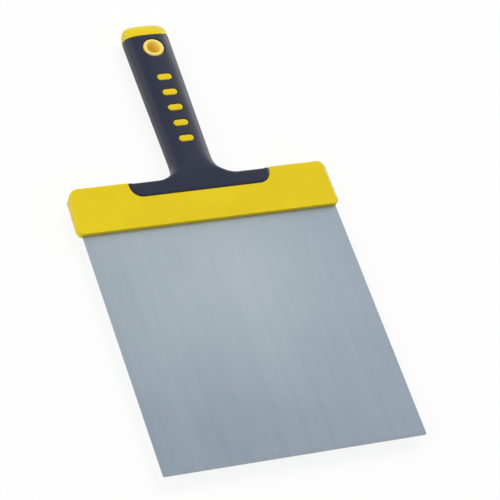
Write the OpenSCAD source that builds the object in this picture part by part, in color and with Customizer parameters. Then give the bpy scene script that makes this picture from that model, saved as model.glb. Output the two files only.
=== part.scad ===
// Flexible putty knife: a wide spring-steel blade clamped between two bar jaws,
// with a soft grip moulded over a plastic handle core.
//
// Inside the modules y = 0 is the bar's lip, where the blade comes out, +y runs up the
// handle, and z = 0 is the middle of the blade's thickness. lay_flat() then sets the knife
// down on its back with the origin under the middle of its outline.

/* [Blade] */
// Width of the blade
blade_w = 200; // [150:1:250]
// Thickness of the steel sheet
blade_t = 0.6; // [0.4:0.05:0.9]
// Length of blade below the bar's lip
blade_free = 202.5; // [150:0.5:250]
// Length of blade held inside the bar
blade_clamped = 18; // [15:0.5:19]
// Radius of the two corners at the working edge
blade_corner_r = 1.2; // [0.5:0.1:4]
// Length of the ground bevel at the working edge
grind_len = 3; // [1:0.5:8]
// Thickness left at the working edge
edge_t = 0.3; // [0.2:0.05:0.35]

/* [Bar] */
// Height of the bar, from its lip to its top edge
bar_h = 37.1; // [35:0.1:45]
// Thickness of the bar at its top edge
bar_t = 16; // [15:0.2:18]
// Thickness of the bar at its lip
lip_t = 6; // [5:0.2:8]
// How far the bar reaches past each side of the blade at its lip
bar_overhang = 3.7; // [3:0.1:6]
// How much further in each end of the bar lies at its top
bar_taper = 2.1; // [0:0.1:4]
// Radius of the bar's two top corners
bar_corner_r = 6; // [4:0.5:12]
// Radius of the bar's two lip corners
lip_corner_r = 5.5; // [3:0.5:8]
// Rounding of the bar's outer edges
bar_edge_r = 1.5; // [0.5:0.1:1.9]

/* [Grip foot] */
// Width of the grip's foot at its top
foot_w = 111.4; // [105:0.2:130]
// Height of the foot on the face of the bar
foot_h = 12.5; // [11:0.1:14]
// How far the top of the foot lies below the bar's top edge
foot_drop = 0.3; // [0:0.1:2]
// How much narrower each end of the foot is at its bottom
foot_slope = 0.2; // [0:0.1:6]
// Radius of the foot's bottom corners
foot_corner_r = 9.8; // [4:0.1:10]
// Thickness of the grip material over the bar, at the foot's bottom
foot_wall = 3; // [2.5:0.1:3.5]
// How far the foot stands above the face of the bar
foot_proud = 0.6; // [0.3:0.1:2]
// Rounding of the foot's outer edges
foot_edge_r = 1.5; // [0.5:0.1:2]

/* [Grip] */
// Length of the grip above the bar
grip_len = 130.8; // [115:0.1:150]
// Width of the grip where its fillets end
neck_w = 32.6; // [30:0.2:38]
// Width of the grip at the butt
butt_w = 35.4; // [32:0.2:42]
// Thickness of the grip where its fillets end
neck_t = 20.6; // [19:0.2:24]
// Thickness of the grip at the butt
butt_t = 23; // [20:0.2:28]
// Radius of the fillets between the grip and its foot
fillet_r = 15; // [8:0.5:18]

/* [Handle core] */
// Width of the core inside the grip
core_w = 24; // [22:0.5:25]
// Thickness of the core inside the grip
core_t = 12; // [10:0.5:12.5]
// Radius of the core's long edges
core_corner_r = 3; // [1:0.5:4]
// Width of the tenon clamped between the jaws
tenon_w = 92; // [70:1:96]
// Thickness of the tenon
tenon_t = 4; // [3:0.2:4]
// Distance from the blade's hidden edge to the tenon
tenon_rise = 2.5; // [1.5:0.5:3]

/* [Butt cap] */
// Length of the cap beyond the grip
cap_len = 15; // [13:0.1:22]
// Lean of the seam between grip and cap, in degrees
seam_lean = 19.3; // [10:0.1:22]
// Width of the core's tongue inside the cap
tongue_w = 15; // [10:0.5:18]
// Thickness of the core's tongue
tongue_t = 7; // [5:0.5:9]
// Length of the core's tongue
tongue_len = 8; // [5:0.5:9]

/* [Hanging eyelet] */
// Outer diameter of the eyelet
eyelet_od = 16.3; // [13:0.1:17]
// Diameter of the hanging hole
eyelet_id = 9.5; // [6:0.1:11]
// Distance from the grip's butt end to the hole
eyelet_from_end = 12.4; // [11:0.1:18]
// How far the eyelet's rims stand above the grip
eyelet_proud = 0.4; // [0:0.1:1]

/* [Grip inlays] */
// Number of inlays along the front of the grip
inlay_count = 5; // [2:1:5]
// Width of an inlay across the grip
inlay_w = 11.5; // [6:0.5:14]
// Height of an inlay along the grip
inlay_h = 5.6; // [3:0.1:6.4]
// Distance from the bar's top edge to the first inlay
inlay_start = 32.2; // [26:0.1:34]
// Distance from the last inlay to the hanging hole
inlay_stop = 28.6; // [20:0.1:36]
// How far the inlays stand above the grip
inlay_proud = 0.2; // [0.1:0.1:0.6]

/* [Pins] */
// Radius of the clamping pins
pin_r = 2; // [1.5:0.1:2.4]
// Number of pins through the blade
blade_pins_n = 7; // [3:2:9]
// Distance from each side of the blade to its outermost pin
blade_pin_inset = 10; // [6:0.5:20]
// Jaw left over the blind end of a blade pin
pin_cover = 1.4; // [1:0.1:1.6]
// Distance from the middle of the bar to the inner tenon pins
tang_pin_inner = 14; // [8:1:14]
// Distance from each end of the tenon to its outer pin
tang_pin_inset = 8; // [6:0.5:10]

/* [Hidden] */
$fn = 48;
STEEL = "#A8B5BC";
YELLOW = "#E7CD2D";
RUBBER = "#353846";
GOLD = "#F4DC70";
PIN_STEEL = "#C4C8CC";
// Clearance between mouldings that fit into each other
fit_gap = 0.05;
// Radial clearance of a pin in its holes
pin_gap = 0.02;
// Clearance of the leaf's rounded end in the root's groove
knuckle_gap = 0.03;
// How much smaller the leaf's rounded end is than half the sheet
knuckle_inset = 0.01;
// Cuts run this far past the faces they open
over = 1;
// How far the handle's form starts below the foot's face
spine_sink = 0.4;

bar_w = blade_w + 2 * bar_overhang;
foot_top = bar_h - foot_drop;
foot_y = foot_top - foot_h;
// Under the foot each jaw is this thick and ends this far up
saddle_half = foot_face_z(foot_y) - foot_wall;
saddle_y = foot_top - foot_wall;
tenon_y = blade_clamped + tenon_rise;
neck_y = foot_top + fillet_r;
grip_end = bar_h + grip_len;
eyelet_y = grip_end - eyelet_from_end;
inlay_y = bar_h + inlay_start;
inlay_pitch = (eyelet_y - inlay_stop - inlay_y) / (inlay_count - 1);
// A sheet clamped at one end swings about a line this share of its length from the clamp
flex_y = -0.15 * blade_free;
knuckle_r = blade_t / 2 - knuckle_inset;
groove_r = knuckle_r + knuckle_gap;
pin_half = face_z(blade_clamped / 2 - pin_r) - pin_cover;
// Roundness of the grip's section: 2 is an ellipse, larger is boxier
grip_round = 2.8;
foot_round = 4;
// Roundness of the butt cap in the plan; from the side its end is an ellipse
cap_round = 4.5;
ring_n = 44;
eyelet_half = grip_half_t(eyelet_y) + eyelet_proud;
// The knife lies on the lowest of these and its outline is centred on the origin
back_z = max(eyelet_half, butt_t / 2, neck_t / 2, foot_face_z(foot_top));
centre_y = (grip_end + cap_len - blade_free) / 2;

function lerp(a, b, t) = a + (b - a) * t;
function ease(t) = let (u = min(max(t, 0), 1)) u * u * (3 - 2 * u);
function ease_out(t) = let (u = min(max(t, 0), 1)) u * (2 - u);
function arc(cx, cy, r, from, to, n = 8) =
    [for (i = [0:n]) let (a = lerp(from, to, i / n)) [cx + r * cos(a), cy + r * sin(a)]];

// Height of the bar's face and of the foot's over the middle of the blade: a wedge, thin at the lip
function face_z(y) = lerp(lip_t, bar_t, y / bar_h) / 2;
function foot_face_z(y) = face_z(y) + foot_proud;

// Outline of the bar, drawn in by an inset
function bar_outline(inset) =
    let (w = bar_w / 2 - inset, wt = w - bar_taper, top = bar_h - inset, lean = atan(bar_taper / bar_h))
    let (rt = bar_corner_r - inset, rl = lip_corner_r - inset)
    concat(arc(wt - rt, top - rt, rt, lean, 90), arc(rt - wt, top - rt, rt, 90, 180 - lean),
           arc(rl - w, inset + rl, rl, 180 - lean, 270), arc(w - rl, inset + rl, rl, 270, 360 + lean));

// Outline of the grip's foot, drawn in by an inset or grown by a negative one; its slanted
// sides meet the bottom corners a little past the tangent, so that no side is hollow
function foot_outline(inset) =
    let (w = foot_w / 2 - inset, top = foot_top - inset)
    let (base = w - foot_slope, low = foot_y + inset, r = foot_corner_r - inset)
    let (dx = foot_slope + r, dy = top - low - r)
    let (lean = acos(r / norm([dx, dy])) - atan2(dy, dx) + 4)
    concat([[w, top], [-w, top]], arc(-base + r, low + r, r, 180 + lean, 270),
           arc(base - r, low + r, r, 270, 360 - lean));

// The notch that the foot lies in: its outline, carried on past the top of the bar
function notch_outline() =
    let (rise = foot_drop + over, w = foot_w / 2 + fit_gap + rise * foot_slope / foot_h)
    concat([[w, foot_top + rise], [-w, foot_top + rise]],
           [for (i = [1:len(foot_outline(0)) - 1]) foot_outline(-fit_gap)[i]],
           [foot_outline(-fit_gap)[0]]);

// Half width, half thickness and roundness of the grip at a height y
function grip_half_w(y) =
    let (side = lerp(neck_w, butt_w, max(0, (y - neck_y) / (grip_end - neck_y))) / 2)
    let (down = min(max(neck_y - y, 0), fillet_r))
    side + fillet_r - sqrt(fillet_r * fillet_r - down * down);
function grip_half_t(y) =
    y < neck_y
    ? lerp(foot_face_z(foot_y) - spine_sink, neck_t / 2, ease_out((y - foot_y) / (neck_y - foot_y)))
    : lerp(neck_t, butt_t, ease(1.25 * (y - neck_y) / (grip_end - neck_y))) / 2;
function grip_roundness(y) = lerp(foot_round, grip_round, ease((y - foot_top) / (1.5 * fillet_r)));

// One ring of points: a rounded section across the handle at a height y
function power(v, e) = sign(v) * pow(abs(v), e);
function ring(y, w, t, round) =
    [for (i = [0:ring_n - 1]) let (a = 360 * i / ring_n)
        [w * power(cos(a), 2 / round), y, t * power(sin(a), 2 / round)]];

module lay_flat() {
    translate([0, -centre_y, back_z]) children();
}

// Extrudes a section drawn across the knife along the handle
module along(from, to) {
    translate([0, to, 0]) rotate([90, 0, 0]) linear_extrude(to - from) children();
}

module rounded_rect(w, t, r) {
    polygon(concat(arc(w / 2 - r, t / 2 - r, r, 0, 90), arc(r - w / 2, t / 2 - r, r, 90, 180),
                   arc(r - w / 2, r - t / 2, r, 180, 270), arc(w / 2 - r, r - t / 2, r, 270, 360)));
}

// A closed skin over a list of rings
module skin(rings) {
    last = len(rings) - 1;
    n = len(rings[0]);
    sides = [for (i = [0:last - 1], j = [0:n - 1]) let (k = (j + 1) % n)
        each [[i * n + j, i * n + k, (i + 1) * n + k], [i * n + j, (i + 1) * n + k, (i + 1) * n + j]]];
    foot = [for (j = [n - 1:-1:0]) j];
    head = [for (j = [0:n - 1]) last * n + j];
    polyhedron([for (r = rings) each r], concat([foot, head], sides));
}

// A wedge with rounded edges, from a function that draws its outline in; its two faces lie
// this far above the bar's
module rounded_wedge(outline, proud, edge_r) {
    front = [for (a = [90:-22.5:0]) [for (p = outline(edge_r * (1 - cos(a))))
        [p[0], p[1], face_z(p[1]) + proud - edge_r * (1 - sin(a))]]];
    back = [for (i = [len(front) - 1:-1:0]) [for (p = front[i]) [p[0], p[1], -p[2]]]];
    skin(concat(front, back));
}

// The form that grip and cap share: the handle from its foot, and the dome that ends it
module handle_form() {
    turn = 84;
    steps = 10;
    heights = concat([for (i = [0:3]) lerp(foot_y + 2, foot_top, i / 4)],
                     [for (i = [0:7]) neck_y - fillet_r * cos(90 * i / 8)],
                     [for (i = [0:10]) lerp(neck_y, grip_end, i / 10)]);
    skin(concat(
        [for (y = heights) ring(y, grip_half_w(y), grip_half_t(y), grip_roundness(y))],
        [for (i = [1:steps]) let (a = turn * i / steps)
            ring(grip_end + cap_len * sin(a) / sin(turn),
                 butt_w / 2 * pow(1 - pow(sin(a), cap_round), 1 / cap_round),
                 butt_t / 2 * cos(a), grip_round)]));
}

// All that lies past the seam between grip and cap, a plane that leans towards the back
module past_seam() {
    translate([0, grip_end, butt_t / 2])
        rotate([seam_lean, 0, 0])
        translate([-butt_w, 0, -3 * butt_t])
        cube([2 * butt_w, 3 * cap_len, 6 * butt_t]);
}

module at_blade_pins() {
    reach = blade_w / 2 - blade_pin_inset;
    for (i = [0:blade_pins_n - 1]) {
        translate([lerp(-reach, reach, i / (blade_pins_n - 1)), blade_clamped / 2, 0]) children();
    }
}

module at_tang_pins() {
    outer = tenon_w / 2 - tang_pin_inset;
    for (x = [-outer, -tang_pin_inner, tang_pin_inner, outer]) {
        translate([x, (foot_y + saddle_y) / 2, 0]) children();
    }
}

module at_inlays() {
    for (i = [0:inlay_count - 1]) {
        translate([0, inlay_y + i * inlay_pitch, 0]) children();
    }
}

module inlay_shape(grow) {
    r = inlay_h / 2 + grow;
    x = (inlay_w - inlay_h) / 2;
    polygon(concat(arc(x, 0, r, -90, 90, 12), arc(-x, 0, r, 90, 270, 12)));
}

// The free part of the blade, which bends; its rounded end turns in the root's groove
module blade_leaf() {
    half = blade_t / 2;
    bevel_y = grind_len - blade_free;
    r = blade_corner_r;
    w = blade_w / 2;
    color(STEEL)
    lay_flat()
    union() {
        intersection() {
            translate([-w, 0, 0])
                rotate([90, 0, 90])
                linear_extrude(blade_w)
                polygon([[flex_y, half], [flex_y, -half], [bevel_y, -half],
                         [-blade_free, -edge_t / 2], [-blade_free, edge_t / 2], [bevel_y, half]]);
            linear_extrude(blade_t + over, center = true)
                polygon(concat([[w, over + flex_y], [-w, over + flex_y]],
                               arc(r - w, r - blade_free, r, 180, 270),
                               arc(w - r, r - blade_free, r, 270, 360)));
        }
        translate([-w, flex_y, 0]) rotate([0, 90, 0]) cylinder(r = knuckle_r, h = blade_w);
    }
}

// The upper part of the blade: a strip that the jaws clamp, and the first of its bend
module blade_root() {
    color(STEEL)
    lay_flat()
    difference() {
        translate([-blade_w / 2, flex_y, -blade_t / 2])
            cube([blade_w, blade_clamped - flex_y, blade_t]);
        translate([-blade_w / 2 - over, flex_y, 0])
            rotate([0, 90, 0])
            cylinder(r = groove_r, h = blade_w + 2 * over);
        at_blade_pins() cylinder(r = pin_r + pin_gap, h = 2 * over, center = true);
    }
}

// One half of the bar, with beds for the blade, the tenon, the grip's foot and the pins
module jaw() {
    difference() {
        rounded_wedge(function (inset) bar_outline(inset), 0, bar_edge_r);
        translate([-bar_w, -over, -bar_t]) cube([2 * bar_w, bar_h + 2 * over, bar_t]);
        translate([-blade_w / 2 - fit_gap, -over, -over])
            cube([blade_w + 2 * fit_gap, blade_clamped + fit_gap + over, blade_t / 2 + over]);
        translate([-tenon_w / 2 - fit_gap, tenon_y - fit_gap, -over])
            cube([tenon_w + 2 * fit_gap, bar_h, tenon_t / 2 + over]);
        translate([0, 0, saddle_half]) linear_extrude(bar_t) polygon(notch_outline());
        intersection() {
            linear_extrude(4 * bar_t, center = true) polygon(notch_outline());
            translate([-foot_w, saddle_y, -over]) cube([2 * foot_w, bar_h, 2 * bar_t]);
        }
        at_blade_pins() cylinder(r = pin_r + pin_gap, h = pin_half);
        at_tang_pins() cylinder(r = pin_r + pin_gap, h = bar_t);
    }
}

module front_jaw() {
    color(YELLOW) lay_flat() jaw();
}

module rear_jaw() {
    color(YELLOW) lay_flat() mirror([0, 0, 1]) jaw();
}

// Pins that pass through the blade and end blind in both jaws
module blade_pins() {
    color(PIN_STEEL)
    lay_flat()
    at_blade_pins() cylinder(r = pin_r, h = 2 * (pin_half - fit_gap), center = true);
}

// Pins through both jaws and the tenon, hidden under the grip's foot
module tang_pins() {
    color(PIN_STEEL)
    lay_flat()
    at_tang_pins() cylinder(r = pin_r, h = 2 * (saddle_half - fit_gap), center = true);
}

// Tenon, shaft and tongue in one moulding
module handle_core() {
    color(YELLOW)
    lay_flat()
    difference() {
        union() {
            translate([-tenon_w / 2, tenon_y, -tenon_t / 2])
                cube([tenon_w, saddle_y - tenon_y, tenon_t]);
            translate([-core_w / 4, tenon_y, -tenon_t / 2])
                cube([core_w / 2, saddle_y - tenon_y + over, tenon_t]);
            difference() {
                along(saddle_y, grip_end + cap_len) rounded_rect(core_w, core_t, core_corner_r);
                past_seam();
            }
            along(grip_end - over, grip_end + tongue_len) rounded_rect(tongue_w, tongue_t, 1.5);
        }
        at_tang_pins() cylinder(r = pin_r + pin_gap, h = 2 * bar_t, center = true);
        translate([0, eyelet_y, 0])
            cylinder(r = eyelet_od / 2 + fit_gap, h = 2 * core_t, center = true);
    }
}

// The soft moulding: a handle that flares into a foot, open where other pieces pass
module grip() {
    color(RUBBER)
    lay_flat()
    difference() {
        union() {
            rounded_wedge(function (inset) foot_outline(inset), foot_proud, foot_edge_r);
            handle_form();
        }
        past_seam();
        translate([-foot_w, foot_y - over, -saddle_half])
            cube([2 * foot_w, foot_h - foot_wall + over, 2 * saddle_half]);
        along(saddle_y - over, grip_end + cap_len)
            rounded_rect(core_w + 2 * fit_gap, core_t + 2 * fit_gap, core_corner_r + fit_gap);
        translate([0, eyelet_y, 0])
            cylinder(r = eyelet_od / 2 + fit_gap, h = 2 * butt_t, center = true);
        at_inlays() linear_extrude(butt_t) inlay_shape(fit_gap);
    }
}

// Plain raised bars on the core that fill the windows in the front of the grip
module grip_inlays() {
    color(YELLOW)
    lay_flat()
    for (i = [0:inlay_count - 1]) {
        y = inlay_y + i * inlay_pitch;
        translate([0, y, core_t / 2])
            linear_extrude(grip_half_t(y) + inlay_proud - core_t / 2)
            inlay_shape(0);
    }
}

// A bush with rounded rims through the grip and the core
module hang_eyelet() {
    rim = (eyelet_od - eyelet_id) / 4;
    mid = eyelet_id / 2 + rim;
    flat = eyelet_half - rim;
    color(GOLD)
    lay_flat()
    translate([0, eyelet_y, 0])
    rotate_extrude()
    polygon(concat(arc(mid, flat, rim, 0, 180, 10), arc(mid, -flat, rim, 180, 360, 10)));
}

// Domed end of the handle, pushed over the core's tongue
module butt_cap() {
    color(YELLOW)
    lay_flat()
    difference() {
        intersection() {
            handle_form();
            past_seam();
        }
        along(grip_end - over, grip_end + tongue_len + fit_gap)
            rounded_rect(tongue_w + 2 * fit_gap, tongue_t + 2 * fit_gap, 1.5 + fit_gap);
    }
}

blade_leaf();
blade_root();
front_jaw();
rear_jaw();
blade_pins();
tang_pins();
handle_core();
grip();
grip_inlays();
hang_eyelet();
butt_cap();
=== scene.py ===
# %% [markdown]
# # A flexible putty knife, piece by piece
#
# The knife is a square sheet of spring steel, a yellow bar that clamps it, and a dark soft
# grip that sits astride the bar and ends in a yellow butt with a hanging eyelet. The solids
# already fix every place and size. This lesson dresses them: each cell works out one surface
# with numpy and gives it a finish, and the pieces of the handle are hung on the body that
# carries them.

# %% Load the solids
import math

import bmesh
import bpy
import numpy as np
from mathutils import Matrix, Vector


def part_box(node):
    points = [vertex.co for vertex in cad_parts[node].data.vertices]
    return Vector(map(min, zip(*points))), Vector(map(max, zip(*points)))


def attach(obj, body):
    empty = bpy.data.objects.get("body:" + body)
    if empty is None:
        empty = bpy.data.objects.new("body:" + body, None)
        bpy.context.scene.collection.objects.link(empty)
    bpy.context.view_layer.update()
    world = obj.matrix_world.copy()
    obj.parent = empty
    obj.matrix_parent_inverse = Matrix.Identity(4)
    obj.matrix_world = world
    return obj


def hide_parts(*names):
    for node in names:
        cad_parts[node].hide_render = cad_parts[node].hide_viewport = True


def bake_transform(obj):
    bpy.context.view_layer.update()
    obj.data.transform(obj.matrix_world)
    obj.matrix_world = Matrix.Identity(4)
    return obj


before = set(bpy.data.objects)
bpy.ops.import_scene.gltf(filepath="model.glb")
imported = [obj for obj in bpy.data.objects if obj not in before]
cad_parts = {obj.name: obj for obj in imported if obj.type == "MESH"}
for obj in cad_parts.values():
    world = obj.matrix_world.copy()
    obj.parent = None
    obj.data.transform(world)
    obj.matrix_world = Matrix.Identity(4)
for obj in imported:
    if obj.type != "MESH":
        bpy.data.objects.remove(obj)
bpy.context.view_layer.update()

print("solids:", ", ".join(sorted(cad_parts)))

# %% [markdown]
# ## One drawing, in millimetres
#
# A maker measures this knife from the bar's lip, where the steel comes out, and from the
# middle of the sheet. So the pieces are drawn in millimetres from there: x across the blade,
# y up the handle, z towards the front. The front jaw's lowest corner lies on both of those
# planes, which ties the drawing to the solids without any fitting.

# %% The drawing's origin
MM = 0.001
lip_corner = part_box("front_jaw")[0]
DRAWING_ORIGIN = np.array([0.0, lip_corner.y, lip_corner.z])


def placed(x, y, z):
    """Drawing coordinates in millimetres, as points in metres in the frame of the solids."""
    return np.stack(np.broadcast_arrays(x, y, z), -1) * MM + DRAWING_ORIGIN


print("lip at y = %.2f mm, sheet at z = %.2f mm" % tuple(DRAWING_ORIGIN[1:] / MM))

# %% [markdown]
# ## Turning arrays into solids
#
# A piece could be typed in vertex by vertex, or pushed about with operators. Here it is a grid
# of points, rows along one parameter and columns along the other, and a few polygons that close
# the ends. One helper writes the arrays into a mesh, merges points that meet at seams and
# poles, turns the faces outwards, and reports the volume and whether the mesh is closed.

# %% Helpers for grids and meshes
SHARP_ANGLE = math.radians(35)
MERGE_DISTANCE = 1e-7


def lattice(rows, columns):
    """Quads between the rows of a grid whose columns run round in a closed loop."""
    here = np.arange(rows * columns).reshape(rows, columns)
    beside = np.roll(here, -1, axis=1)
    quads = np.stack([here[:-1], beside[:-1], beside[1:], here[1:]], -1)
    return quads.reshape(-1, 4)


def solid(name, points, *polygons):
    """A closed mesh object from points and arrays of polygons, one polygon in each row."""
    loops = np.concatenate([p.ravel() for p in polygons])
    sizes = np.concatenate([np.full(len(p), p.shape[1]) for p in polygons])
    mesh = bpy.data.meshes.new(name)
    mesh.vertices.add(len(points))
    mesh.vertices.foreach_set("co", np.ascontiguousarray(points, np.float32).ravel())
    mesh.loops.add(len(loops))
    mesh.loops.foreach_set("vertex_index", loops.astype(np.int32))
    mesh.polygons.add(len(sizes))
    mesh.polygons.foreach_set("loop_start", (np.cumsum(sizes) - sizes).astype(np.int32))
    mesh.update(calc_edges=True)

    work = bmesh.new()
    work.from_mesh(mesh)
    bmesh.ops.remove_doubles(work, verts=work.verts, dist=MERGE_DISTANCE)
    bmesh.ops.recalc_face_normals(work, faces=work.faces)
    volume = work.calc_volume(signed=True)
    open_edges = sum(not edge.is_manifold for edge in work.edges)
    work.to_mesh(mesh)
    work.free()

    mesh.shade_smooth()
    mesh.set_sharp_from_angle(angle=SHARP_ANGLE)
    piece = bpy.data.objects.new(name, mesh)
    bpy.context.scene.collection.objects.link(piece)
    print("%s: %d faces, %.2f cm3, %d open edges"
          % (name, len(mesh.polygons), volume * 1e6, open_edges))
    return piece


# %% [markdown]
# ## Soft steps and rounded corners
#
# Moulded plastic has no hard corners. Three small formulas round everything that follows: a
# step that starts and ends level, a mix, and a maximum whose crease is rounded over a width.

# %% Easing, mixing and a rounded maximum
def soft_step(value):
    """0 below 0, 1 above 1, and 3t^2 - 2t^3 between them."""
    t = np.clip(value, 0, 1)
    return t * t * (3 - 2 * t)


def mixed(a, b, share):
    """a where share is 0, b where it is 1, and in proportion between them."""
    return a + (b - a) * share


def soft_max(a, b, width):
    """The larger of a and b, lifted by a parabola where they differ by less than width."""
    closeness = np.maximum(width - np.abs(a - b), 0) / width
    return np.maximum(a, b) + closeness * closeness * width / 4


# %% [markdown]
# ## Shader sums
#
# A finish is a sum of noises, masks and colours. Wired by hand in the node editor it is hard to
# read later, so a small class stands for a node's output: ordinary arithmetic on it adds Math
# nodes, and one method adds any other node. What is the same all over a surface is written on
# the shader's own sockets instead.

# %% A class for shader outputs
class Output:
    """An output of a node tree. Sums and products of outputs add Math nodes to the tree."""

    def __init__(self, tree, socket=None):
        self.tree, self.socket = tree, socket

    def add(self, kind, settings, inputs, output=0):
        """Adds a node of a kind, sets its settings, then fills or links its inputs."""
        node = self.tree.nodes.new(kind)
        for key, value in settings.items():
            setattr(node, key, value)
        for key, value in inputs.items():
            if isinstance(value, Output):
                self.tree.links.new(value.socket, node.inputs[key])
            else:
                node.inputs[key].default_value = value
        return Output(self.tree, node.outputs[output]) if node.outputs else node

    def maths(self, operation, first, second):
        """A Math node on two numbers or outputs."""
        return self.add("ShaderNodeMath", {"operation": operation}, {0: first, 1: second})

    def __add__(self, other):
        return self.maths("ADD", self, other)

    def __radd__(self, other):
        return self.maths("ADD", other, self)

    def __sub__(self, other):
        return self.maths("SUBTRACT", self, other)

    def __rsub__(self, other):
        return self.maths("SUBTRACT", other, self)

    def __mul__(self, other):
        return self.maths("MULTIPLY", self, other)

    def __rmul__(self, other):
        return self.maths("MULTIPLY", other, self)

    def between(self, low, high):
        """0 at low, 1 at high, with a soft step between them."""
        return self.add("ShaderNodeMapRange", {"interpolation_type": "SMOOTHSTEP"},
                        {"Value": self, "From Min": low, "From Max": high})

    def part(self, axis):
        """One component of a vector, by its letter."""
        return self.add("ShaderNodeSeparateXYZ", {}, {0: self}, "XYZ".index(axis))

    def stretched(self, x, y, z):
        """A vector with its components multiplied."""
        return self.add("ShaderNodeVectorMath", {"operation": "MULTIPLY"},
                        {0: self, 1: (x, y, z)})

    def noise(self, scale=1.0, detail=2.0, roughness=0.5):
        """Noise at this place, from 0 to 1 with a middle of one half."""
        return self.add("ShaderNodeTexNoise", {},
                        {"Vector": self, "Scale": scale, "Detail": detail,
                         "Roughness": roughness})

    def swing(self, amount):
        """A noise counted from its middle, so that it moves a value up and down by an amount."""
        return (self - 0.5) * amount

    def colour(self, low, high):
        """The colour low where this is 0 and high where it is 1."""
        return self.add("ShaderNodeMix", {"data_type": "RGBA"},
                        {0: self, 6: low, 7: high}, 2)

    def bump(self, strength, distance):
        """A normal from this height, for a Normal socket."""
        return self.add("ShaderNodeBump", {},
                        {"Height": self, "Strength": strength, "Distance": distance})


def paint(red, green, blue):
    """A colour as it is picked on a screen, 0 to 255, turned to the linear one of a shader."""
    screen = np.array([red, green, blue]) / 255
    linear = np.where(screen < 0.04045, screen / 12.92, ((screen + 0.055) / 1.055) ** 2.4)
    return (*linear.tolist(), 1.0)


def finish(name, fixed, varying):
    """A material: fixed values on the Principled shader, and varying(output) for linked ones."""
    material = bpy.data.materials.new(name)
    material.use_nodes = True
    tree = material.node_tree
    shader = tree.nodes["Principled BSDF"]
    for socket, value in fixed.items():
        shader.inputs[socket].default_value = value
    for socket, output in varying(Output(tree)).items():
        tree.links.new(output.socket, shader.inputs[socket])
    print("finish", name, "with", len(tree.nodes), "nodes")
    return material


# %% [markdown]
# ## Finish: rolled and ground spring steel
#
# The sheet leaves the mill with a fine grain along its length and a satin, slightly blue grey
# look. It could be one grey with a brushed bump, but real steel is never that even. So the
# grain is noise stretched two hundred times along y, broad bands and hand marks change tone and
# sheen, a painted sheen makes the upper middle brighter and the tip and the right side darker,
# and the ground edge shows the lines of the stone.
# The finish reads the place of each point on the flat sheet from an attribute, so that the
# grain stays on the steel when the sheet bends.

# %% Blade steel
BLADE_HALF_W, BLADE_FREE, GRIND = 100.0, 202.5, 3.0
LIP_Y = DRAWING_ORIGIN[1]
EDGE_Y = LIP_Y - BLADE_FREE * MM
GRIND_Y, GRIND_BLUR = EDGE_Y + GRIND * MM, 0.0002
# Where the painted sheen ends towards the lip, and how much it fades at the sides and the right.
PAINTED_SHEEN_TOP_Y, SIDE_FADE, RIGHT_FADE = LIP_Y - 0.05, 0.35, 0.4
STEEL_BRIGHT = paint(172, 183, 188)
STEEL_DULL = paint(141, 152, 166)
GROUND_DARK = paint(128, 138, 149)
GROUND_LIGHT = paint(163, 172, 182)


def steel_look(start):
    """The tone is the painted sheen's share, bright in the upper middle and darker towards the
    tip, the sides and the right, plus grain, bands and marks, each counted from its middle. Past
    the grind line the bevel's colour takes over."""
    place = start.add("ShaderNodeAttribute", {"attribute_name": "flat_place"}, {}, 1)
    grain = place.stretched(2400, 12, 1).noise(1, 3, 0.6)
    bands = place.stretched(160, 3, 1).noise(1, 2)
    marks = place.noise(16, 4, 0.55)
    scuffs = place.stretched(90, 700, 1).noise(1, 2).between(0.66, 0.74)
    cuts = place.stretched(5200, 160, 1).noise(1, 2)
    across, along = place.part("X") * (1 / (BLADE_HALF_W * MM)), place.part("Y")
    ground = along.between(GRIND_Y + GRIND_BLUR, GRIND_Y - GRIND_BLUR)
    # Painted sheen: a smooth brightening of the upper middle that fades towards the tip, the sides
    # and the right, standing in for light in the steel's reflection.
    painted_sheen = along.between(EDGE_Y, PAINTED_SHEEN_TOP_Y) * (
        1 - across * across * SIDE_FADE - across.between(0, 1) * RIGHT_FADE)
    tone = 0.12 + painted_sheen * 0.72 + grain.swing(0.45) + bands.swing(0.3) + marks.swing(0.4)
    sheet = tone.colour(STEEL_DULL, STEEL_BRIGHT)
    bevel = cuts.between(0.2, 0.8).colour(GROUND_DARK, GROUND_LIGHT)
    roughness = 0.44 + grain.swing(0.10) + marks.swing(0.16) + scuffs * 0.05
    height = grain * (1 - ground) + cuts * ground + scuffs * 0.4
    return {
        "Base Color": ground.colour(sheet, bevel),
        "Roughness": roughness - ground * 0.06 + cuts.swing(0.1) * ground,
        "Normal": height.bump(0.12, 0.00005),
    }


blade_steel = finish("satin_spring_steel", {"Metallic": 1.0}, steel_look)

# %% [markdown]
# ## Finish: yellow moulded plastic
#
# The bar and the butt are injection moulded: a saturated yellow with a faint cloudiness from
# the pigment, a fine eroded texture from the mould, and a few pale rub marks where the tool is
# laid down. A single colour would look like paint on a screen, so three noises at the sizes of
# the pigment clouds, the mould texture and the rubs share the work.

# %% Yellow plastic
YELLOW_DEEP = paint(229, 196, 4)
YELLOW_LIGHT = paint(239, 215, 16)
YELLOW_RUBBED = paint(240, 220, 70)


def yellow_look(start):
    """Clouds and mould texture mix two yellows, and rub marks pull the mix towards a paler one."""
    place = start.add("ShaderNodeTexCoord", {}, {}, 3)
    clouds = place.noise(26, 3, 0.5)
    texture = place.noise(1500, 2, 0.5)
    rubs = place.stretched(420, 60, 240).noise(1, 3).between(0.60, 0.76)
    body = (0.5 + clouds.swing(1.3) + texture.swing(0.5)).colour(YELLOW_DEEP, YELLOW_LIGHT)
    return {
        "Base Color": (rubs * 0.18).colour(body, YELLOW_RUBBED),
        "Roughness": 0.40 + texture.swing(0.10) + clouds.swing(0.12) + rubs * 0.08,
        "Normal": texture.bump(0.25, 0.0001),
    }


yellow_plastic = finish("yellow_moulding", {"Specular IOR Level": 0.3}, yellow_look)

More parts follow.
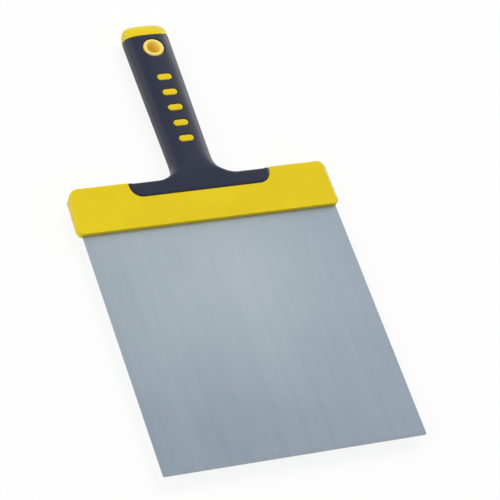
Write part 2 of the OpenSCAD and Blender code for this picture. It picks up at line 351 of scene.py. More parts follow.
# %% [markdown]
# ## Finish: soft dark grip
#
# The grip is a rubbery moulding in a blue black. Its surface is a fine stipple that scatters
# light, so it has no sharp highlight, only a soft light band along each side, and the stipple
# is a little polished and dusty in patches. A plain dark colour would look like a hole in the
# picture. Cells about a millimetre across give the stipple, and slower noises move colour and
# roughness.

# %% Soft grip
RUBBER_DEEP = paint(6, 13, 37)
RUBBER_WORN = paint(22, 30, 54)


def grip_look(start):
    """Patches, grit and dust mix two blue blacks, and the stipple and the grit give the bump."""
    place = start.add("ShaderNodeTexCoord", {}, {}, 3)
    stipple = place.add("ShaderNodeTexVoronoi", {"feature": "SMOOTH_F1"},
                        {"Vector": place, "Scale": 1150.0, "Smoothness": 0.6})
    grit = place.noise(2600, 2, 0.5)
    patches = place.noise(34, 4, 0.6)
    dust = place.noise(240, 3, 0.6).between(0.52, 0.72)
    tone = 0.38 + patches.swing(0.9) + grit.swing(0.35) + dust * 0.12
    return {
        "Base Color": tone.colour(RUBBER_DEEP, RUBBER_WORN),
        "Roughness": 0.52 + patches.swing(0.22) + grit.swing(0.12),
        "Normal": (stipple * 0.8 + grit * 0.4).bump(0.22, 0.00012),
    }


soft_rubber = finish("stippled_rubber", {"Specular IOR Level": 0.42, "Sheen Weight": 0.2,
                                        "Sheen Roughness": 0.4}, grip_look)

# %% [markdown]
# ## Finish: golden eyelet and plain pins
#
# The eyelet is a shinier yellow than the bar, of a plastic that lets some light through. Its
# golds are paler than the bar's yellow, partly as a painted highlight for the shine on its rim
# and painted light in its bore. A translucent shader would be slow and would not survive an
# export, so a very faint painted golden glow stands for the light that comes through. The pins
# are hidden inside the bar and are plain drawn steel, with the die lines that drawing leaves
# along them.

# %% Golden plastic and pin steel
# Both golds are paler than the bar's yellow: partly the plastic's own colour, partly a painted
# highlight and painted light in the bore.
GOLD_DEEP = paint(252, 220, 96)
GOLD_LIGHT = paint(254, 231, 136)
PIN_DARK = paint(176, 180, 184)
PIN_LIGHT = paint(206, 209, 212)


def golden_look(start):
    """Clouds mix two pale golds, and a fine texture moves the roughness and the bump."""
    place = start.add("ShaderNodeTexCoord", {}, {}, 3)
    clouds = place.noise(90, 3, 0.5)
    texture = place.noise(1800, 2, 0.5)
    return {
        "Base Color": clouds.between(0.3, 0.7).colour(GOLD_DEEP, GOLD_LIGHT),
        "Roughness": 0.26 + texture.swing(0.10) + clouds.swing(0.10),
        "Normal": texture.bump(0.06, 0.00005),
    }


def pin_look(start):
    """Noise drawn out along z mixes two greys and moves the roughness with them."""
    place = start.add("ShaderNodeTexCoord", {}, {}, 3)
    lines = place.stretched(3000, 3000, 60).noise(1, 2)
    return {
        "Base Color": lines.colour(PIN_DARK, PIN_LIGHT),
        "Roughness": 0.30 + lines.swing(0.16),
    }


# The emission is a painted glow: the eyelet is no lamp.
golden_plastic = finish("golden_moulding", {"Emission Color": (1.0, 0.72, 0.02, 1.0),
                                             "Emission Strength": 0.045}, golden_look)
pin_steel = finish("drawn_pin_steel", {"Metallic": 1.0}, pin_look)

# %% [markdown]
# ## The blade sheet
#
# The real blade is one sheet, and it bends. In the solids it is two nodes with a sprung hinge
# between them; here one mesh covers both. It is a closed section, carried across the blade: down
# the front face, round the ground edge, and back up the rear face. Rows are close together along
# y so that the bend stays smooth, and the two tip corners are rounded by lifting the last rows
# along a quarter circle.

# %% Blade sheet
BLADE_CLAMPED, SHEET_HALF, EDGE_HALF = 18.0, 0.30, 0.15
TIP_CORNER, TIP_REACH, BURR = 1.2, 6.0, 0.07
BLADE_ROWS, BLADE_COLUMNS = 110, 14


def blade_section():
    """Section of the sheet from its clamped end to its edge: y, and half the thickness there.
    The thickness is even, then falls along a straight line over the ground length."""
    bevel = GRIND - BLADE_FREE
    y = np.concatenate([
        [BLADE_CLAMPED], np.linspace(2, bevel + 2, BLADE_ROWS),
        [bevel + 0.1, bevel - 0.1], np.linspace(bevel - 1, 0.1 - BLADE_FREE, 3), [-BLADE_FREE],
    ])
    return y, mixed(SHEET_HALF, EDGE_HALF, np.clip((bevel - y) / GRIND, 0, 1))


def blade_columns():
    """Places across the sheet: even in the middle, and on a quarter circle at each corner."""
    turn = np.sin(np.radians(np.linspace(0, 86, 9)))
    right = np.concatenate([
        np.linspace(0, BLADE_HALF_W - 4, BLADE_COLUMNS),
        BLADE_HALF_W - TIP_CORNER + TIP_CORNER * turn, [BLADE_HALF_W],
    ])
    return np.concatenate([-right[:0:-1], right])


def blade_sheet():
    """The closed section at every column. Near the tip, y rises by the corner's quarter circle,
    and the outermost columns are thinner by a burr's width."""
    y, half = blade_section()
    x = blade_columns()
    y = np.concatenate([y, y[::-1]])[None, :]
    z = np.concatenate([half, -half[::-1]])[None, :]
    past = np.maximum(np.abs(x) - BLADE_HALF_W + TIP_CORNER, 0)[:, None]
    lift = TIP_CORNER - np.sqrt(np.maximum(TIP_CORNER ** 2 - past ** 2, 0))
    near_tip = np.clip((TIP_REACH - BLADE_FREE - y) / TIP_REACH, 0, 1)
    thinner = np.where(np.abs(x) >= BLADE_HALF_W, 1 - BURR / SHEET_HALF, 1)[:, None]
    points = placed(x[:, None], y + lift * near_tip, z * thinner)
    rows, columns = points.shape[:2]
    ends = np.arange(columns) + np.array([[0], [(rows - 1) * columns]])
    return solid("blade_sheet", points.reshape(-1, 3), lattice(rows, columns), ends)


blade = blade_sheet()
blade.data.materials.append(blade_steel)
flat_place = np.empty(len(blade.data.vertices) * 3, np.float32)
blade.data.vertices.foreach_get("co", flat_place)
blade.data.attributes.new("flat_place", "FLOAT_VECTOR", "POINT")
blade.data.attributes["flat_place"].data.foreach_set("vector", flat_place)

BEND_START, BEND_END = -0.5, -60.25
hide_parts("blade_leaf", "blade_root")
placed(0, BEND_START, 0).tolist()
placed(0, BEND_END, 0).tolist()
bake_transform(blade)

# %% [markdown]
# ## The two halves of the bar
#
# The bar is a long wedge with rounded edges, thin at the lip, split along the sheet, with a
# notch in its top for the grip's foot. It could be a box with bevels, but the notch would leave
# the bevel in pieces. Instead the wedge's outline, notch included, is a path with a normal at
# each point, and an edge profile is carried along it: a small break at the split, a straight
# wall, and a quarter round onto the face, which rises with y. The round is small at the lip and
# in the notch, and it grows along the ends towards the top. Flat polygons close the wedge.

# %% Outline of the bar
BAR_LIP_HALF_W, BAR_TOP_HALF_W, BAR_H = 103.7, 101.6, 37.1
LIP_HALF_T, TOP_HALF_T, FOOT_PROUD = 3.0, 8.0, 0.6
BAR_CORNER, LIP_CORNER, MOUTH_CORNER = 6.0, 5.5, 1.7
LIP_EDGE, END_EDGE_LOW, END_EDGE_HIGH, TOP_EDGE = 0.35, 3.0, 4.5, 1.6
NOTCH_EDGE, SPLIT_EDGE, ARC_STEPS = 0.6, 0.12, 12
FOOT_HALF_W, FOOT_TOP, FOOT_FLOOR, FOOT_CORNER = 55.7, 36.8, 24.3, 9.8
FOOT_CORNER_X, FOOT_CORNER_Y = 45.7, 34.1
SADDLE_Y, SADDLE_HALF, FIT_GAP = 33.8, 3.875, 0.05

to_top = np.array([FOOT_HALF_W - FOOT_CORNER_X, FOOT_TOP - FOOT_CORNER_Y])
FOOT_LEAN = math.acos(FOOT_CORNER / math.hypot(*to_top)) - math.atan2(*to_top[::-1])


def face_height(y):
    """Height of the bar's face over the sheet: a straight rise from the lip to the top."""
    return mixed(LIP_HALF_T, TOP_HALF_T, y / BAR_H)


def foot_end(y):
    """Half width of the grip's foot at a height: a straight end that leans in downwards."""
    return FOOT_HALF_W - (FOOT_TOP - y) * math.tan(FOOT_LEAN)


def rounded_path(corners, radii, steps):
    """Arcs that round the corners of an anticlockwise outline: points and outward normals.
    Each arc touches both sides of its corner, and its normal turns from one side's to the
    other's; at a hollow corner the points lie against the normal from the arc's centre."""
    corners, radii = np.array(corners, float), np.array(radii, float)[:, None]
    ahead = np.roll(corners, -1, 0) - corners
    ahead /= np.linalg.norm(ahead, axis=1, keepdims=True)
    behind = np.roll(ahead, 1, 0)
    turn = np.arctan2(behind[:, 0] * ahead[:, 1] - behind[:, 1] * ahead[:, 0],
                      (behind * ahead).sum(1))[:, None]
    inward = ahead - behind
    inward /= np.linalg.norm(inward, axis=1, keepdims=True)
    centres = corners + inward * radii / np.cos(turn / 2)
    angle = np.arctan2(-behind[:, :1], behind[:, 1:]) + turn * np.linspace(0, 1, steps + 1)
    normals = np.stack([np.cos(angle), np.sin(angle)], -1)
    side = np.sign(turn)[:, :, None]
    return centres[:, None] + side * radii[:, :, None] * normals, normals


def bar_path():
    """The bar's outline with its notch, from the lip's left corner: points, normals, the edge
    rounding and the break at the split, and the two columns where the saddle's step meets the
    notch. Round each corner the rounding and the break pass in proportion from the value
    before the corner to the value after it, and the sides between run straight."""
    gap = FIT_GAP / math.cos(FOOT_LEAN)
    mouth, floor = foot_end(BAR_H) + gap, foot_end(FOOT_FLOOR - FIT_GAP) + gap
    corners = [(-BAR_LIP_HALF_W, 0), (BAR_LIP_HALF_W, 0), (BAR_TOP_HALF_W, BAR_H), (mouth, BAR_H),
               (floor, FOOT_FLOOR - FIT_GAP), (-floor, FOOT_FLOOR - FIT_GAP), (-mouth, BAR_H),
               (-BAR_TOP_HALF_W, BAR_H)]
    notch_corner = FOOT_CORNER + FIT_GAP
    radii = [LIP_CORNER, LIP_CORNER, BAR_CORNER, MOUTH_CORNER, notch_corner, notch_corner,
             MOUTH_CORNER, BAR_CORNER]
    notch, split = [NOTCH_EDGE] * 3, [SPLIT_EDGE] * 3
    before = np.array([[END_EDGE_LOW, LIP_EDGE, END_EDGE_HIGH, TOP_EDGE, *notch, TOP_EDGE],
                       [SPLIT_EDGE, *split, 0, 0, 0, SPLIT_EDGE]])[:, :, None]
    after = np.array([[LIP_EDGE, END_EDGE_LOW, TOP_EDGE, *notch, TOP_EDGE, END_EDGE_HIGH],
                      [*split, 0, 0, 0, SPLIT_EDGE, SPLIT_EDGE]])[:, :, None]
    arcs, normals = rounded_path(corners, radii, ARC_STEPS)
    widths = mixed(before, after, np.linspace(0, 1, arcs.shape[1]))
    columns = np.concatenate([arcs, normals, np.moveaxis(widths, 0, -1)], -1)
    step = columns[[3, 6], -1].copy()
    step[0, :2], step[1, :4] = (foot_end(SADDLE_Y) + gap, SADDLE_Y), columns[5, -1, :4]
    step[1, :2] = -step[0, 0], SADDLE_Y
    step[:, 4:] = NOTCH_EDGE, 0
    path = np.concatenate([*columns[:4], step[:1], *columns[4:6], step[1:], *columns[6:]])
    first = 4 * arcs.shape[1]
    return (path[:, :2], path[:, 2:4], path[:, 4], path[:, 5],
            (first, first + 2 * arcs.shape[1] + 1))


print("the foot's ends lean %.1f degrees" % math.degrees(FOOT_LEAN))

# %% [markdown]
# Under the grip's foot each half keeps a thinner tongue, the saddle that the foot grips. So the
# walls of the notch start at the saddle's height there, and a step closes the tongue's end.

# %% Bar halves
FLAT_RIM = 0.3


def bar_half(name, side):
    """Rows of the edge profile round the path: the split's rim and break, the wall, the quarter
    round and the face's rim. The wall's row lies at the saddle's height, or half way up where
    the wedge is thinner. Between the two step columns the rows below the saddle are left out,
    and the saddle's floor and step close the gap."""
    path, out, edge, split, (first, last) = bar_path()
    turn = np.radians(np.linspace(0, 90, 8))[:, None]
    rim = np.where(split > 0, FLAT_RIM, 0)
    inset = np.concatenate([[split + rim, split, 0 * split, 0 * split],
                            edge * (1 - np.cos(turn)), [edge + FLAT_RIM]])
    place = path - inset[..., None] * out
    face = face_height(place[..., 1])
    wall = np.minimum(SADDLE_HALF, (face[3] - edge) / 2)
    wall[first:last + 1] = SADDLE_HALF
    height = np.concatenate([[0 * split, 0 * split, split, wall],
                             face[4:-1] - edge * (1 - np.sin(turn)), face[-1:]])
    points = placed(place[..., 0], place[..., 1], side * height)
    rows, columns = inset.shape
    index = np.arange(rows * columns).reshape(rows, columns)
    walls = lattice(rows, columns).reshape(rows - 1, columns, 4)
    below = np.ones(columns, bool)
    below[first:last] = False
    split_face = np.concatenate([index[0, last:], index[0, :first + 1]])
    saddle = index[3, first:last + 1]
    step = np.array([[index[3, first], index[3, last], index[0, last], index[0, first]]])
    return solid(name, points.reshape(-1, 3), walls[:3, below].reshape(-1, 4),
                 walls[3:].reshape(-1, 4), split_face[None, ::-1], saddle[None, ::-1], step,
                 index[-1][None])


for name, side, node in (("bar_front", 1, "front_jaw"), ("bar_rear", -1, "rear_jaw")):
    half = bar_half(name, side)
    half.data.materials.append(yellow_plastic)
    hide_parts(node)
    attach(half, "handle")

# %% [markdown]
# ## The soft grip
#
# The grip flows from a flat foot with a thin rounded edge into a full, rounded handle, and it is
# open where the core, the eyelet and the inlays pass. No single sheet of two parameters follows
# all of that, so this piece is a field instead: a function that gives the distance to the
# rubber's surface, negative inside. Its plan is exact: a strip and a line, joined by round
# fillets and cut by the foot's floor and ends.

# %% Plan and thickness of the grip
GRIP_END, NECK_Y, FILLET = 167.9, 51.8, 15.0
NECK_W, BUTT_W, NECK_T, BUTT_T = 32.6, 35.4, 20.6, 23.0
CAP_LENGTH, CAP_POWER, SEAM_LEAN = 15.0, 4.5, 0.35
FLOOR_DIP, SWELL, TEE_CREASE = 0.4, 1.25, 1.0
WING_START, WING_EASE, WING_CREASE = 18.0, 16.0, 0.4


def butt_shrink(y):
    """What is left of the handle's width and thickness past the grip: a superellipse in the
    plan and a plain ellipse from the side, so the butt is square but its end is round."""
    along = np.clip((y - GRIP_END) / CAP_LENGTH, 0, 1)
    return (1 - along ** CAP_POWER) ** (1 / CAP_POWER), np.sqrt(1 - along ** 2)


def past_seam(y, z):
    """Distance past the seam between rubber and butt, a plane that leans towards the back."""
    return (y - GRIP_END - SEAM_LEAN * (BUTT_T / 2 - z)) / math.hypot(1, SEAM_LEAN)


def handle_half_width(y):
    """Half width of the handle: a straight taper from the neck to the butt, then the dome."""
    taper = np.clip((y - NECK_Y) / (GRIP_END - NECK_Y), 0, 1)
    return mixed(NECK_W, BUTT_W, taper) / 2 * butt_shrink(y)[0]


def grip_half_thickness(x, y):
    """Half thickness of the grip: a rise from the foot's floor that levels out at the neck,
    2t - t^2, a soft one to the butt, and wings on both sides of the neck that follow the bar's
    face. A soft step over x passes from the spine to the wings."""
    climb = np.clip((y - FOOT_FLOOR) / (NECK_Y - FOOT_FLOOR), 0, 1)
    floor = face_height(FOOT_FLOOR) + FOOT_PROUD - FLOOR_DIP
    rise = mixed(floor, NECK_T / 2, climb * (2 - climb))
    handle = mixed(NECK_T, BUTT_T, soft_step(SWELL * (y - NECK_Y) / (GRIP_END - NECK_Y))) / 2
    spine = np.where(y < NECK_Y, rise, handle * butt_shrink(y)[1])
    wing = face_height(np.minimum(y, FOOT_TOP)) + FOOT_PROUD
    aside = soft_step((np.abs(x) - WING_START) / WING_EASE)
    return wing + soft_max(spine - wing, 0 * spine, WING_CREASE) * (1 - aside)


def tee_outline(x, y):
    """Distance from the grip's outline in the plan. A round union joins the handle's strip and
    the line of the foot's top; circles round the foot's two lower corners."""
    x = np.abs(x)
    strip, line = x - handle_half_width(y), y - FOOT_TOP
    filleted = (np.maximum(FILLET, np.minimum(strip, line))
                - np.hypot(np.maximum(FILLET - strip, 0), np.maximum(FILLET - line, 0)))
    lean_cos, lean_sin = math.cos(FOOT_LEAN), math.sin(FOOT_LEAN)
    cx, cy = x - FOOT_CORNER_X, y - FOOT_CORNER_Y
    in_corner = (cx > 0) & (lean_sin * cx + lean_cos * cy < 0)
    foot = np.where(in_corner, np.hypot(cx, cy) - FOOT_CORNER,
                    np.maximum((x - foot_end(y)) * lean_cos, FOOT_FLOOR - y))
    return soft_max(filleted, foot, TEE_CREASE)


print("neck %.1f mm thick, butt %.1f mm thick"
      % (2 * grip_half_thickness(0, NECK_Y), 2 * grip_half_thickness(0, GRIP_END)))

# %% [markdown]
# The plan distance and the thickness give the solid in two ways: a slab with a rounded edge for
# the foot, and an oval for the handle. The slab's edge round grows from the foot's floor and
# ends to its wings, and again up to the neck, and the field passes softly from slab to oval
# there. The openings are then taken out with rounded rims.

# %% The grip's field
CORE_HALF_W, CORE_HALF_T, CORE_CORNER = 12.05, 6.05, 3.05
EYELET_Y, EYELET_SEAT = 155.5, 8.2
INLAY_Y, INLAY_PITCH, INLAY_COUNT = 69.3, 14.4, 5
INLAY_HALF_W, INLAY_R = 5.75, 2.8
FOOT_EDGE, WING_EDGE, NECK_EDGE, OVAL_POWER = 2.0, 3.4, 7.5, 2.8
END_MARGIN, END_EASE, FLOOR_MARGIN, FLOOR_EASE = 0.5, 4.0, 2.0, 10.0
NECK_START, NECK_EASE = FOOT_TOP - 2, 0.7 * FILLET
OVAL_START, OVAL_EASE = FOOT_TOP + 0.1 * FILLET, 1.4 * FILLET
SEAM_RIM, SLOT_RIM, SEAT_RIM, WINDOW_RIM = 0.9, 0.2, 1.2, 0.9


def grip_skin(x, y, z):
    """Outside of the grip: a rounded slab where the foot is, a superellipse on the handle. Soft
    steps over y, and over the distance from the foot's ends, mix the slab's edge rounds and
    then the slab and the oval. The oval's value is divided by its slope, to be a distance."""
    plan, half = tee_outline(x, y), grip_half_thickness(x, y)
    from_end = soft_step((foot_end(y) - np.abs(x) - END_MARGIN) / END_EASE)
    from_floor = soft_step((y - FOOT_FLOOR - FLOOR_MARGIN) / FLOOR_EASE)
    edge = mixed(FOOT_EDGE, WING_EDGE, from_floor * from_end)
    edge = mixed(edge, NECK_EDGE, soft_step((y - NECK_START) / NECK_EASE))
    out, up = plan + edge, np.abs(z) - half + edge
    slab = (np.hypot(np.maximum(out, 0), np.maximum(up, 0))
            + np.minimum(np.maximum(out, up), 0) - edge)
    width, power = handle_half_width(y), OVAL_POWER
    across, through = np.maximum(1 + plan / width, 0.001), np.maximum(np.abs(z) / half, 0.001)
    reach = across ** power + through ** power
    slope = reach ** (1 / power - 1) * np.hypot(across ** (power - 1) / width,
                                                through ** (power - 1) / half)
    oval = (reach ** (1 / power) - 1) / slope
    return mixed(slab, oval, soft_step((y - OVAL_START) / OVAL_EASE))


def grip_field(x, y, z):
    """Distance to the rubber's surface: the skin, cut along the leaning seam of the butt, less
    the saddle's slot, the core's bore, the eyelet's seat and the windows of the inlays."""
    slot = np.maximum(y - SADDLE_Y, np.abs(z) - SADDLE_HALF)
    bore_x = np.maximum(np.abs(x) - CORE_HALF_W + CORE_CORNER, 0)
    bore_z = np.maximum(np.abs(z) - CORE_HALF_T + CORE_CORNER, 0)
    bore = np.maximum(np.hypot(bore_x, bore_z) - CORE_CORNER, SADDLE_Y - 1 - y)
    seat = np.hypot(x, y - EYELET_Y) - EYELET_SEAT
    turn = np.clip(np.round((y - INLAY_Y) / INLAY_PITCH), 0, INLAY_COUNT - 1)
    flat = np.maximum(np.abs(x) - INLAY_HALF_W + INLAY_R, 0)
    window = np.hypot(flat, y - INLAY_Y - turn * INLAY_PITCH) - INLAY_R - FIT_GAP
    body = soft_max(grip_skin(x, y, z), past_seam(y, z), SEAM_RIM)
    body = soft_max(body, -slot, SLOT_RIM)
    body = soft_max(body, -bore, SLOT_RIM)
    body = soft_max(body, -seat, SEAT_RIM)
    return soft_max(body, -np.maximum(window, -z), WINDOW_RIM)


# %% [markdown]
# To make a mesh of a field, a cubic grid is laid through it. Every cell that the surface cuts
# gets one point, the mean of the cuts on its edges, and every grid edge that is cut gets one
# face, between the four cells round it. The points are then slid onto the surface along its
# slope, and evened out sideways, so the faces come out regular.

# %% From a field to a mesh
def slope_of(field, points, step=0.02):
    """Slope of a field at points, by differences over a small step each way."""
    shift = np.eye(3) * step
    return np.stack([field(*(points + s).T) - field(*(points - s).T) for s in shift],
                    -1) / (2 * step)


def onto_surface(field, points):
    """Points moved along the slope by the field's value over the slope's size."""
    slope = slope_of(field, points)
    size = np.maximum((slope ** 2).sum(1), 0.1)
    return points - slope * np.clip(field(*points.T) / size, -0.5, 0.5)[:, None]


def evened(field, points, quads):
    """Points moved half way to the mean of their neighbours, but only along the surface."""
    start, end = quads.ravel(), np.roll(quads, -1, 1).ravel()
    start, end = np.concatenate([start, end]), np.concatenate([end, start])
    count = np.bincount(start, minlength=len(points))[:, None]
    mean = np.stack([np.bincount(start, points[end, i], len(points)) for i in range(3)], -1)
    move = mean / count - points
    normal = slope_of(field, points)
    normal /= np.maximum(np.linalg.norm(normal, axis=1, keepdims=True), 1e-6)
    return points + 0.5 * (move - (move * normal).sum(1)[:, None] * normal)


def field_mesh(field, low, high, step):
    """Points and quads of the level zero of a field in a box, on cells of one step."""
    axes = [np.arange(a, b + step, step) for a, b in zip(low, high)]
    values = field(*np.meshgrid(*axes, indexing="ij", sparse=True))
    cuts, cells = [], []
    for axis in range(3):
        before, after = np.moveaxis(values, axis, 0)[:-1], np.moveaxis(values, axis, 0)[1:]
        before, after = np.moveaxis(before, 0, axis), np.moveaxis(after, 0, axis)
        edges = np.argwhere((before < 0) != (after < 0))
        at = tuple(edges.T)
        cut = edges.astype(float)
        cut[:, axis] += before[at] / (before[at] - after[at])
        around = np.repeat(edges[:, None], 4, 1)
        around[:, :, (axis + 1) % 3] -= np.array([0, 1, 1, 0])
        around[:, :, (axis + 2) % 3] -= np.array([0, 0, 1, 1])
        around[before[at] > 0] = around[before[at] > 0][:, ::-1]
        cuts.append(np.repeat(cut[:, None], 4, 1).reshape(-1, 3))
        cells.append(np.ravel_multi_index(tuple(np.moveaxis(around, -1, 0)), values.shape))
    quads = np.unique(np.concatenate(cells), return_inverse=True)[1].reshape(-1, 4)
    cuts = np.concatenate(cuts)
    count = np.bincount(quads.ravel())
    points = np.stack([np.bincount(quads.ravel(), cuts[:, i]) / count for i in range(3)], -1)
    points = points * step + np.array([a[0] for a in axes])
    for _ in range(3):
        points = onto_surface(field, evened(field, onto_surface(field, points), quads))
    return points, quads


# %% Grip
CELL, GRIP_LOW, GRIP_HIGH = 0.6, (-58.2, 23.4, -12.6), (58.2, 178.2, 12.6)
points, quads = field_mesh(grip_field, GRIP_LOW, GRIP_HIGH, CELL)
grip = solid("grip_rubber", placed(*points.T), quads)
grip.data.materials.append(soft_rubber)
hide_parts("grip")
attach(grip, "handle")

# %% [markdown]
# ## The inlays
#
# Five plain bars stand up from the core and fill windows in the front of the grip. Each is a
# rounded lozenge: its outline is drawn in row by row to the middle line while the height
# follows a small edge round and then a shallow crown. All five are worked out as one array.

# %% Inlays
INLAY_EDGE, INLAY_CROWN, INLAY_PROUD, CORE_TOP = 0.5, 0.3, 0.2, 6.0


def inlays():
    """Stadium outlines with a falling radius; the height is a wall, a quarter round, and a
    parabola up to the crown on the middle line."""
    angle = np.linspace(0, 2 * np.pi, 64, endpoint=False)
    ends = np.where(np.cos(angle) >= 0, 1, -1) * (INLAY_HALF_W - INLAY_R)
    turn = np.radians(np.linspace(0, 90, 7))
    inward = np.linspace(INLAY_EDGE, INLAY_R, 7)[1:]
    inset = np.concatenate([[0, 0], INLAY_EDGE * (1 - np.cos(turn)), inward])
    crown = INLAY_CROWN * (1 - ((INLAY_R - inward) / (INLAY_R - INLAY_EDGE)) ** 2)
    drop = np.concatenate([[0, INLAY_EDGE + 1], INLAY_EDGE * (1 - np.sin(turn)), -crown])
    middle = INLAY_Y + INLAY_PITCH * np.arange(INLAY_COUNT)
    top = grip_half_thickness(0, middle) + INLAY_PROUD - INLAY_CROWN
    radius = (INLAY_R - inset)[None, :, None]
    height = top[:, None] - drop[None]
    height[:, 0] = CORE_TOP
    points = placed(ends + radius * np.cos(angle),
                    middle[:, None, None] + radius * np.sin(angle), height[:, :, None])
    count, rows, columns = points.shape[:3]
    first = np.arange(count) * rows * columns
    walls = (lattice(rows, columns) + first[:, None, None]).reshape(-1, 4)
    floors = np.arange(columns)[::-1] + first[:, None]
    return solid("inlay_bars", points.reshape(-1, 3), walls, floors)


bars = inlays()
bars.data.materials.append(yellow_plastic)
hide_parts("grip_inlays")
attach(bars, "handle")

# %% [markdown]
# ## The hanging eyelet
#
# The eyelet is a bush with a rounded rim at each face of the grip, and its mouth widens like a
# bell so that a hook finds it. It is turned: its section is carried round the hole's axis.

# %% Eyelet
EYELET_OUTER, EYELET_INNER, EYELET_HALF = 8.15, 4.75, 11.9
EYELET_RIM, BELL_DEPTH = 1.8, 3.0


def eyelet():
    """The section's points at every turn about the hole's axis: radius and height. The rim is
    a quarter circle outside and a quarter of an ellipse, as deep as the bell, inside."""
    bend = np.radians(np.linspace(0, 90, 15))
    crest = EYELET_OUTER - EYELET_RIM
    outside = np.stack([crest + EYELET_RIM * np.cos(bend),
                        EYELET_HALF - EYELET_RIM * (1 - np.sin(bend))])
    inside = np.stack([EYELET_INNER + (crest - EYELET_INNER) * (1 - np.cos(bend)),
                       EYELET_HALF - BELL_DEPTH * (1 - np.sin(bend))])
    front = np.concatenate([outside, inside[:, -2::-1]], 1)
    radius, height = np.concatenate([front, front[:, ::-1] * [[1], [-1]]], 1)
    turn = np.linspace(0, 2 * np.pi, 97)[:, None]
    points = placed(radius * np.cos(turn), EYELET_Y + radius * np.sin(turn), height)
    rows, columns = points.shape[:2]
    return solid("eyelet_bush", points.reshape(-1, 3), lattice(rows, columns))


bush = eyelet()
bush.data.materials.append(golden_plastic)
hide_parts("hang_eyelet")
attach(bush, "handle")

# %% [markdown]
# ## The butt
#
# The butt closes the handle with a dome that is square in the plan and round from the side,
# past a seam that leans to the back. A scaled ball would be round both ways, so its rings are
# the handle's own oval, drawn in along one curve for the width and another for the thickness.
# Each column of points starts on the seam, with a small break where it meets the rubber.

# %% Butt dome
SEAM_EDGE, SEAM_LIFT = 0.45, 0.3


def butt_dome():
    """Ovals from the seam to the end, each drawn in as the handle's own shape is there. Every
    column starts where it meets the leaning seam, found by repeating y = seam(z(y)), and two
    smaller ovals in the seam's plane make a break at its rim."""
    turn = np.linspace(0, 2 * np.pi, 128, endpoint=False)
    across = np.sign(np.cos(turn)) * np.abs(np.cos(turn)) ** (2 / OVAL_POWER) * BUTT_W / 2
    through = np.sign(np.sin(turn)) * np.abs(np.sin(turn)) ** (2 / OVAL_POWER) * BUTT_T / 2
    seam = GRIP_END + 0 * turn
    for _ in range(12):
        seam = GRIP_END + SEAM_LEAN * (BUTT_T / 2 - through * butt_shrink(seam)[1])
    rise = np.sin(np.radians(np.linspace(0, 90, 40)))[:, None]
    y = np.concatenate([[seam] * 2, mixed(seam, GRIP_END + CAP_LENGTH, rise)])
    wide, thick = butt_shrink(y)
    inset = np.zeros((len(y), 1))
    inset[:3, 0] = SEAM_EDGE + FLAT_RIM, SEAM_EDGE, SEAM_LIFT * SEAM_EDGE
    x = across * wide * (1 - inset / (BUTT_W / 2))
    z = through * thick * (1 - inset / (BUTT_T / 2))
    y[:2] = GRIP_END + SEAM_LEAN * (BUTT_T / 2 - z[:2])
    y[2] += SEAM_LIFT * SEAM_EDGE
    points = placed(x, y, z)
    rows, columns = points.shape[:2]
    return solid("butt_dome", points.reshape(-1, 3), lattice(rows, columns),
                 np.arange(columns)[None, ::-1])


butt = butt_dome()
butt.data.materials.append(yellow_plastic)
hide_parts("butt_cap")
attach(butt, "handle")

# %% [markdown]
# ## Hidden pieces
#
# The core and the pins stay as the solids have them, because nothing of them shows. They still
# get their finishes, for anyone who takes the knife apart.

# %% Finishes for the hidden solids
for node, material in (("handle_core", yellow_plastic), ("blade_pins", pin_steel),
                       ("tang_pins", pin_steel)):
    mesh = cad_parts[node].data
    mesh.materials.clear()
    mesh.materials.append(material)
    print(node, "keeps its solid, in", material.name)

# %% [markdown]
# ## Studio
#
# A pale floor, a white surround, two soft lamps and two panels. The main lamp stands behind the
# butt, high and to the right, so the bar's lip and the foot's lower edge fall into shade, and
# the side lamp fills in from the left. With the surround they light a level surface at about
# one, where a colour renders as it is written. A soft lamp that shows in satin steel would
# bleach it, so the lamps are hidden from reflections. The panels are the other way round: they
# light nothing, and show only as the soft bands along the grip's two sides.
#
# The surround is dimmer as a light than it looks: what the camera, or a reflection, sees of it
# is white. The floor is mostly that white too, and the rest of it keeps the knife's shadow.

# %% Floor, surround and lamps
AMBIENT, FLOOR_WHITE, REACH = 0.3, 0.88, 12.0
floor_mesh = bpy.data.meshes.new("floor")
floor_mesh.from_pydata([(-REACH, -REACH, 0), (REACH, -REACH, 0), (REACH, REACH, 0),
                        (-REACH, REACH, 0)], [], [(0, 1, 2, 3)])
floor = bpy.data.objects.new("floor", floor_mesh)
bpy.context.scene.collection.objects.link(floor)


def floor_look(start):
    """A slow noise mixes two whites that are almost the same."""
    place = start.add("ShaderNodeTexCoord", {}, {}, 3)
    return {"Base Color": place.noise(3, 2).colour(paint(252, 252, 252), paint(254, 254, 254))}


pale_floor = finish("pale_floor", {"Roughness": 1.0, "Specular IOR Level": 0.0}, floor_look)
floor_mesh.materials.append(pale_floor)


def seen_directly(start):
    """1 for what the camera sees, straight or in a reflection or through glass, 0 for light."""
    rays = [start.add("ShaderNodeLightPath", {}, {}, ray)
            for ray in ("Is Camera Ray", "Is Glossy Ray", "Is Transmission Ray")]
    return start.maths("MAXIMUM", start.maths("MAXIMUM", rays[0], rays[1]), rays[2])


start = Output(pale_floor.node_tree)
shaded = Output(start.tree, start.tree.nodes["Principled BSDF"].outputs[0])
white = start.add("ShaderNodeEmission", {}, {"Color": (1, 1, 1, 1), "Strength": 1.0})
surface = start.add("ShaderNodeMixShader", {},
                    {0: seen_directly(start) * FLOOR_WHITE, 1: shaded, 2: white})
start.tree.links.new(surface.socket, start.tree.nodes["Material Output"].inputs["Surface"])

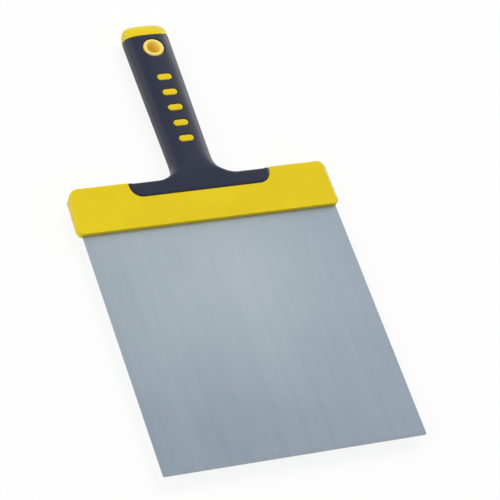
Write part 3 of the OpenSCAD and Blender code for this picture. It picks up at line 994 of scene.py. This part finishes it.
world = bpy.data.worlds.new("surround")
bpy.context.scene.world = world
world.use_nodes = True
sky = Output(world.node_tree)
background = world.node_tree.nodes["Background"]
background.inputs["Color"].default_value = (1, 1, 1, 1)
world.node_tree.links.new((AMBIENT + seen_directly(sky) * (1 - AMBIENT)).socket,
                          background.inputs["Strength"])


def lamp(name, place, power, size, mirrored=False):
    """A square soft lamp at a place, turned to the middle of the knife. It lights the colours or,
    where it is mirrored, shows in reflections and does nothing else."""
    light = bpy.data.lights.new(name, "AREA")
    light.energy, light.size = power, size
    holder = bpy.data.objects.new(name, light)
    holder.location = place
    holder.rotation_euler = (-Vector(place)).to_track_quat("-Z", "Y").to_euler()
    holder.visible_glossy, holder.visible_diffuse = mirrored, not mirrored
    bpy.context.scene.collection.objects.link(holder)
    print("%s: %.0f W, %.1f m wide" % (name, power, size))


lamp("main_lamp", (0.7, 1.1, 2.2), 35, 1.7)
lamp("side_lamp", (-1.6, -0.2, 1.3), 17, 1.6)
lamp("right_panel", (2.1, 1.35, 0.42), 25, 1.1, mirrored=True)
lamp("left_panel", (-2.1, 1.3, 0.3), 10, 1.2, mirrored=True)

# %% [markdown]
# ## Camera
#
# The camera looks down on the front of the knife from beyond the blade's left corner, through a
# long lens, and is rolled so that the handle leans to the left. Its three axes are given
# directly, because a target alone would lose the roll.

# %% Camera
CAMERA_PLACE = Vector(placed(-684.42, -985.61, 1505.0))
CAMERA_RIGHT = (0.92209, -0.30443, 0.23888)
CAMERA_UP = (0.11984, 0.81162, 0.57176)

camera_data = bpy.data.cameras.new("camera")
camera_data.lens, camera_data.sensor_width = 188.86, 36.0
camera_data.clip_start, camera_data.clip_end = 0.05, 60.0
camera = bpy.data.objects.new("camera", camera_data)
right, up = Vector(CAMERA_RIGHT).normalized(), Vector(CAMERA_UP).normalized()
axes = Matrix((right, up, right.cross(up))).transposed().to_4x4()
camera.matrix_world = Matrix.Translation(CAMERA_PLACE) @ axes
bpy.context.scene.collection.objects.link(camera)
bpy.context.scene.camera = camera
bpy.context.scene.view_settings.view_transform = "Standard"
print("camera %.2f m from the knife" % CAMERA_PLACE.length)
